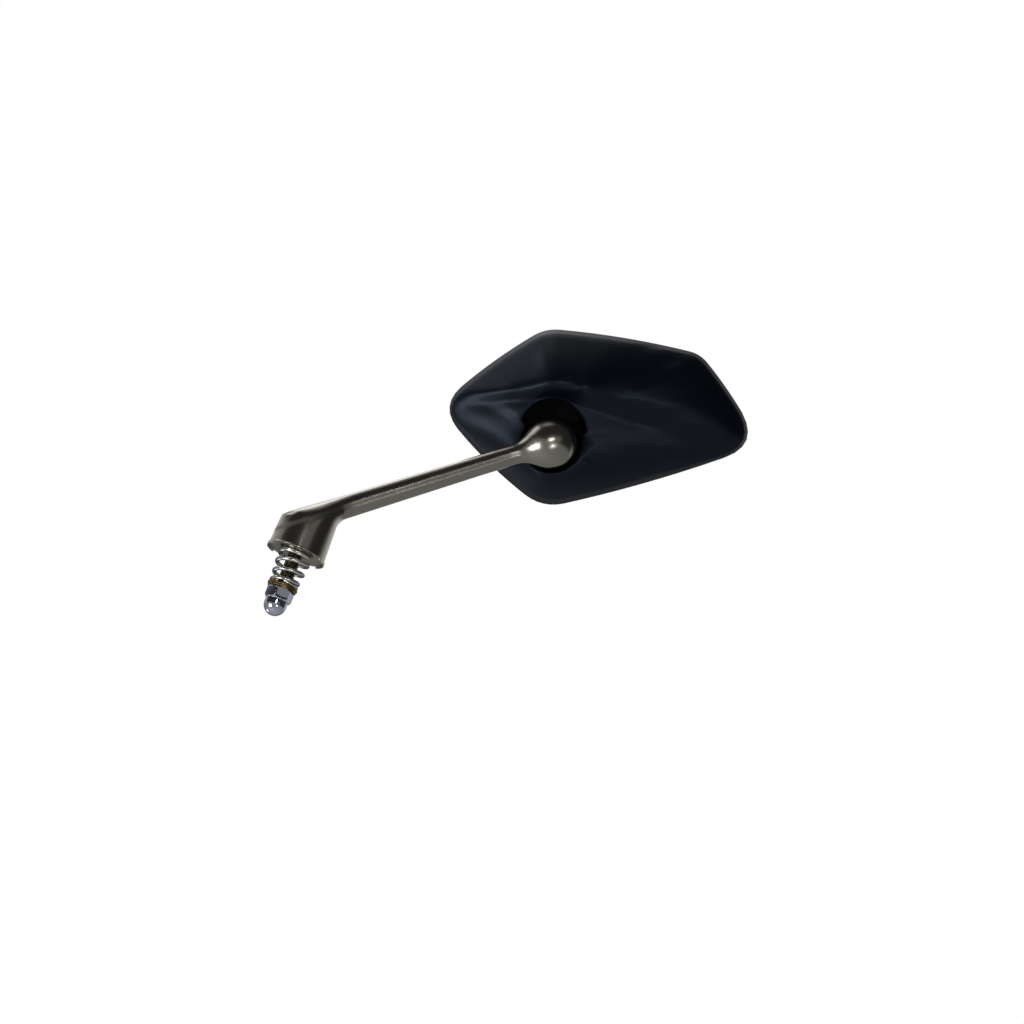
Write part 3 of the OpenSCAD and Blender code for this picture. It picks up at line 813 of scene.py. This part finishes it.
@dataclass
class Head:
    """Housing, backing plate, pad and glass."""

    dresser: Dresser
    ball: Vector
    right: Vector
    up: Vector
    back: Vector
    patches: tuple[SoftPatch, ...] = (SoftPatch(-26, 10, 17 * MM, 62 * MM, 14),
                                      SoftPatch(20, 50, 34 * MM, 76 * MM, 8),
                                      SoftPatch(62, 128, 25 * MM, 42 * MM, 14))
    smooth_angle: float = 38.0

    # Smoothing: least share of a normal that points out of the back, and how far each pass goes
    outward: float = 0.3
    soft_share: float = 0.5

    # Glass: least share of a front face's normal that points forward, and how its facets are joined
    glass_front: float = 0.7
    glass_merge: float = 0.05 * MM
    glass_flat_angle: float = 0.02

    def build(self) -> None:
        """Build the head's pieces."""
        for node, slot in (("backing_plate", Slot.PLATE), ("plate_screws", Slot.SCREW),
                           ("adhesive_pad", Slot.PAD)):
            self.dresser.keep(node, slot)
        self.housing()
        self.glass()

    def housing(self) -> None:
        """Copy the housing and smooth it."""
        piece = self.dresser.copy("housing", "housing_shell")
        for patch in self.patches:
            self.soften(piece, patch)
        shade(piece, self.smooth_angle)
        self.dresser.stand_in(piece, "housing", "head", Slot.HOUSING)

    def soften(self, piece: bpy.types.Object, patch: SoftPatch) -> None:
        """Smooth one stretch of the housing's outer back.

        Args:
            piece: The housing's copy.
            patch: The stretch, and how often it is smoothed.
        """
        deselect()
        for part in (piece.data.polygons, piece.data.edges):
            for item in part:
                item.select = False
        for vertex in piece.data.vertices:
            place = vertex.co - self.ball
            flat = Vector((place.dot(self.right), place.dot(self.up)))
            angle = math.degrees(math.atan2(flat.y, flat.x))
            vertex.select = (patch.start < angle < patch.end and patch.near < flat.length < patch.far
                             and vertex.normal.dot(self.back) > self.outward)
        activate(piece)
        bpy.ops.object.mode_set(mode="EDIT")
        bpy.ops.mesh.vertices_smooth(factor=self.soft_share, repeat=patch.passes)
        deselect()

    def glass(self) -> None:
        """Copy the glass: its front is silvered, its edge and back are painted."""
        piece = self.dresser.copy("mirror_glass", "silvered_glass", self.glass_merge)
        edit_all(piece)
        bpy.ops.mesh.dissolve_limited(angle_limit=math.radians(self.glass_flat_angle))
        deselect()
        shade(piece, SHARP_ANGLE)
        self.dresser.stand_in(piece, "mirror_glass", "head", Slot.GLASS)
        piece.data.materials.append(self.dresser.finishes[Slot.PLATE])
        for face in piece.data.polygons:
            face.material_index = 0 if face.normal.dot(self.back) < -self.glass_front else 1


# Studio


@dataclass(frozen=True)
class Softbox:
    """Square lamp that faces the ball, in a direction along the picture's right, up and back."""

    name: str
    towards: tuple[float, float, float]
    size: float
    radiance: float
    distance: float = 1.5


SOFTBOXES = (
    Softbox("key", (-0.66, 0.70, -0.27), size=0.7, radiance=1.3),
    Softbox("left", (-0.78, -0.14, 0.6), size=0.55, radiance=7.5),
    Softbox("top", (-0.12, 0.96, -0.22), size=0.25, radiance=0.4, distance=0.6),
    Softbox("rear", (-0.15, 0.75, -0.65), size=0.8, radiance=1.6),
    Softbox("panel", (0.53, 0.30, 0.79), size=0.6, radiance=0.22),
    Softbox("upper spot", (0.07, 0.3, 0.95), size=0.26, radiance=9.0),
    Softbox("lower spot", (0.2, -0.22, 0.95), size=0.22, radiance=10.0),
    Softbox("kick", (-0.75, -0.55, -0.3), size=0.3, radiance=4.0),
)


@dataclass
class Studio:
    """Floor, lamps, surroundings and camera.

    The head's own right, up and out of its back are also the photograph's.
    """

    right: Vector
    up: Vector
    back: Vector
    ball: Vector

    # Camera: distance, picture's width at the ball, sensor, aim from the ball, and how far it sees
    distance: float = 4.0
    image_width: float = 542.7 * MM
    sensor: float = 36.0
    aim: tuple[float, float] = (-21.09 * MM, -36.57 * MM)
    view_end: float = 100.0

    # Surroundings: even light, and where along Y the wall fades from its dark to its pale tone
    even_light: Colour = (0.12, 0.12, 0.12)
    wall_from: float = 0.05
    wall_to: float = 0.8
    wall_dark: float = 0.035
    wall_pale: float = 0.8

    # Floor: its level, width and tone, its share of plain white, and how much of that reflections see
    floor_level: float = -1.25
    floor_size: float = 80.0
    floor_tone: Colour = (0.85, 0.85, 0.85)
    floor_white: float = 0.9
    floor_mirrored: float = 0.22

    def direction(self, right: float, up: float, back: float) -> Vector:
        """World direction of a direction in the picture."""
        return (self.right * right + self.up * up + self.back * back).normalized()

    def camera(self) -> None:
        """Place the camera as the photograph has it."""
        target = self.ball + self.right * self.aim[0] + self.up * self.aim[1]
        data = bpy.data.cameras.new("camera")
        data.sensor_width = self.sensor
        data.lens = self.sensor * self.distance / self.image_width
        data.clip_end = self.view_end
        camera = bpy.data.objects.new("camera", data)
        bpy.context.scene.collection.objects.link(camera)
        camera.location = target + self.back * self.distance
        camera.rotation_mode = "QUATERNION"
        turn = Matrix((self.right, self.up, self.back)).transposed()
        camera.rotation_quaternion = turn.to_quaternion()
        bpy.context.scene.camera = camera

    def lamp(self, box: Softbox) -> None:
        """Add one softbox."""
        towards = self.direction(*box.towards)
        data = bpy.data.lights.new(box.name, "AREA")
        data.shape = "SQUARE"
        data.size = box.size
        data.energy = box.radiance * math.pi * box.size * box.size
        lamp = bpy.data.objects.new(box.name, data)
        bpy.context.scene.collection.objects.link(lamp)
        lamp.location = self.ball + towards * box.distance
        lamp.rotation_mode = "QUATERNION"
        lamp.rotation_quaternion = towards.to_track_quat("Z", "Y")

    @staticmethod
    def mirrored(nodes: Nodes, path: bpy.types.Node) -> bpy.types.NodeSocket:
        """Mask of the rays that come from a glossy or clear surface.

        Args:
            nodes: The nodes to add it to.
            path: Their Light Path node.

        Returns:
            The socket of the mask.
        """
        return nodes.math("MAXIMUM", path.outputs["Is Glossy Ray"], path.outputs["Is Transmission Ray"])

    def world(self) -> None:
        """White to the camera, a wall that fades for reflections, and a low even light for the rest."""
        world = bpy.data.worlds.new("studio")
        world.use_nodes = True
        world.node_tree.nodes.clear()
        nodes = Nodes(world.node_tree)
        path = nodes.node("ShaderNodeLightPath")
        depth = nodes.apart(nodes.node("ShaderNodeTexCoord").outputs["Generated"])[1]
        fade = nodes.ramp(depth, self.wall_from, self.wall_to, self.wall_dark, self.wall_pale, "SMOOTHSTEP")
        even = nodes.shader("ShaderNodeBackground", self.even_light)
        wall = nodes.shader("ShaderNodeBackground", fade)
        white = nodes.shader("ShaderNodeBackground", WHITE)
        unseen = nodes.mix_shader(self.mirrored(nodes, path), even, wall)
        mixed = nodes.mix_shader(path.outputs["Is Camera Ray"], unseen, white)
        nodes.filled("ShaderNodeOutputWorld", (mixed,))
        bpy.context.scene.world = world

    def floor(self) -> None:
        """Lay a floor below the camera: nearly white to the camera, dimmer in reflections, else matt."""
        deselect()
        bpy.ops.mesh.primitive_plane_add(size=self.floor_size, location=(0, 0, self.floor_level))
        floor = bpy.context.object
        floor.name = "floor"
        material = bpy.data.materials.new("pale_floor")
        material.use_nodes = True
        material.node_tree.nodes.clear()
        nodes = Nodes(material.node_tree)
        path = nodes.node("ShaderNodeLightPath")
        matt = nodes.shader("ShaderNodeBsdfDiffuse", self.floor_tone)
        glow = nodes.shader("ShaderNodeEmission", WHITE)
        seen = nodes.math("MULTIPLY_ADD", self.mirrored(nodes, path), self.floor_mirrored,
                          path.outputs["Is Camera Ray"])
        mixed = nodes.mix_shader(nodes.math("MULTIPLY", seen, self.floor_white), matt, glow)
        nodes.filled("ShaderNodeOutputMaterial", (mixed,))
        floor.data.materials.append(material)

    def build(self) -> None:
        """Build the whole studio."""
        self.camera()
        for box in SOFTBOXES:
            self.lamp(box)
        self.world()
        self.floor()
        bpy.context.scene.view_settings.view_transform = "Standard"


# The whole scene


def finish_list(start: Vector, across: Vector, centre: Vector) -> dict[Slot, Finish]:
    """Finishes of all the slots.

    Args:
        start: A point on the arm's axis.
        across: Direction across the arm, from its lower to its upper side.
        centre: Point about which the glass curves.

    Returns:
        The finish of each slot.
    """
    return {
        Slot.CUP: Finish("zinc_cup", (0.5, 0.48, 0.43), (0.62, 0.56, 0.42), metallic=1.0, roughness=0.18,
                         surface=Surface.CAST, spread=0.16, grain=1.4 * MM, patch=3 * MM,
                         depth=0.12 * MM, sheen=STEEL_EDGE),
        # The spring's rim colour is a painted dark reflection along the wire's outline
        Slot.SPRING: Finish("spring_plate", (0.78, 0.78, 0.76), (0.7, 0.7, 0.66), metallic=1.0,
                            roughness=0.2, surface=Surface.POLISHED, grain=0.5 * MM, patch=3 * MM,
                            depth=0.003 * MM, sheen=STEEL_EDGE, painted_rim_reflection=(0.08, 0.09, 0.12), rim_from=0.25),
        Slot.WASHER: Finish("yellow_washer", (0.3, 0.23, 0.09), (0.22, 0.17, 0.08), metallic=1.0,
                            roughness=0.34, surface=Surface.CAST, grain=0.6 * MM, patch=4 * MM,
                            depth=0.003 * MM, sheen=STEEL_EDGE),
        # The nut's rim colour is a painted dark reflection at its outline
        Slot.NUT: Finish("nut_chrome", (0.62, 0.65, 0.76), (0.58, 0.61, 0.72), metallic=1.0,
                         roughness=0.07, surface=Surface.POLISHED, spread=0.03, grain=1.2 * MM,
                         patch=5 * MM, depth=0.002 * MM, sheen=STEEL_EDGE, painted_rim_reflection=(0.3, 0.32, 0.4),
                         rim_from=0.5),
        Slot.STUD: Finish("stud_yellow", (0.16, 0.14, 0.07), (0.1, 0.09, 0.05), metallic=1.0,
                          roughness=0.38, surface=Surface.CAST, grain=0.2 * MM, patch=2 * MM,
                          depth=0.003 * MM),
        Slot.ARM: CastFinish("arm_satin", (0.37, 0.355, 0.31), (0.31, 0.295, 0.255), metallic=1.0,
                             roughness=0.24, surface=Surface.CAST, grain=0.28 * MM, patch=12 * MM,
                             depth=0.012 * MM, start=tuple(start), across=tuple(across)),
        Slot.INNER: Finish("inner_steel", (0.5, 0.5, 0.5), (0.42, 0.42, 0.42), metallic=1.0,
                           roughness=0.35, surface=Surface.TURNED, grain=0.3 * MM, patch=3 * MM,
                           depth=0.004 * MM),
        Slot.LINER: Finish("liner_acetal", (0.78, 0.77, 0.7), (0.74, 0.73, 0.66), metallic=0.0,
                           roughness=0.45, surface=Surface.MOULDED, depth=0.005 * MM),
        Slot.CARRIER: Finish("carrier_nylon", (0.002, 0.002, 0.003), (0.003, 0.003, 0.004), metallic=0.0,
                             roughness=0.6, surface=Surface.MOULDED, grain=0.5 * MM, depth=0.02 * MM,
                             specular=0.12),
        Slot.SCREW: Finish("screw_zinc", (0.66, 0.66, 0.64), (0.6, 0.6, 0.58), metallic=1.0,
                           roughness=0.3, surface=Surface.CAST, grain=0.3 * MM, patch=2 * MM,
                           depth=0.004 * MM),
        Slot.HOUSING: Finish("housing_satin", (0.002, 0.0035, 0.008), (0.003, 0.0048, 0.0105),
                             metallic=0.0, roughness=0.4, surface=Surface.MOULDED, grain=0.35 * MM,
                             patch=30 * MM, depth=0.012 * MM, spread=0.04, sheen=(0.66, 0.81, 1.0),
                             specular=0.28, quiet_rim=True, rim_from=0.5),
        Slot.PLATE: Finish("plate_black", (0.02, 0.02, 0.02), (0.026, 0.026, 0.026), metallic=0.0,
                           roughness=0.55, surface=Surface.MOULDED, grain=0.6 * MM, depth=0.02 * MM),
        Slot.PAD: Finish("foam_black", (0.03, 0.03, 0.03), (0.05, 0.05, 0.05), metallic=0.0,
                         roughness=0.9, surface=Surface.MOULDED, grain=0.8 * MM, depth=0.1 * MM),
        Slot.GLASS: GlassFinish("mirror_silver", (0.86, 0.89, 0.9), (0.84, 0.87, 0.88), metallic=1.0,
                                roughness=0.025, surface=Surface.POLISHED, spread=0.01, grain=40 * MM,
                                patch=60 * MM, depth=0.0, centre=tuple(centre)),
    }


def joint_value(frame: dict, name: str, key: str) -> Vector:
    """A vector of one of the frame's joints.

    Args:
        frame: The loaded frame.
        name: Name of the joint.
        key: Name of the value.

    Returns:
        The vector.
    """
    return Vector(next(j for j in frame["joints"] if j["name"] == name)[key])


def curve_centre(glass: bpy.types.Object, back: Vector) -> Vector:
    """Point about which the convex glass curves, behind the crown of its front.

    Args:
        glass: The frame's glass.
        back: Direction out of the head's back.

    Returns:
        The point.
    """
    depth = min(vertex.co.dot(back) for vertex in glass.data.vertices)
    crown = [vertex.co for vertex in glass.data.vertices if vertex.co.dot(back) < depth + CROWN_DEPTH]
    return sum(crown, Vector()) / len(crown) + back * GLASS_CURVE


def main() -> None:
    """Build the scene over the frame."""
    logging.basicConfig(level=logging.INFO, format="%(name)s: %(message)s")
    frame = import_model()
    right, up, back = (joint_value(frame, name, "axis") for name in ("head_tilt", "head_pan", "head_roll"))
    ball = joint_value(frame, "head_pan", "pos_m")
    along = Vector((math.cos(Arm.rise), 0.0, math.sin(Arm.rise)))
    across = along.cross(back).normalized()
    effects = Effects.build()
    centre = curve_centre(frame["nodes"]["mirror_glass"], back)
    finishes = {slot: made.build(effects) for slot, made in finish_list(ball, across, centre).items()}
    dresser = Dresser(frame, finishes)
    Clamp(dresser).build()
    Arm(dresser).build()
    BallJoint(dresser).build()
    Head(dresser, ball, right, up, back).build()
    Studio(right, up, back, ball).build()


if __name__ == "__main__":
    main()
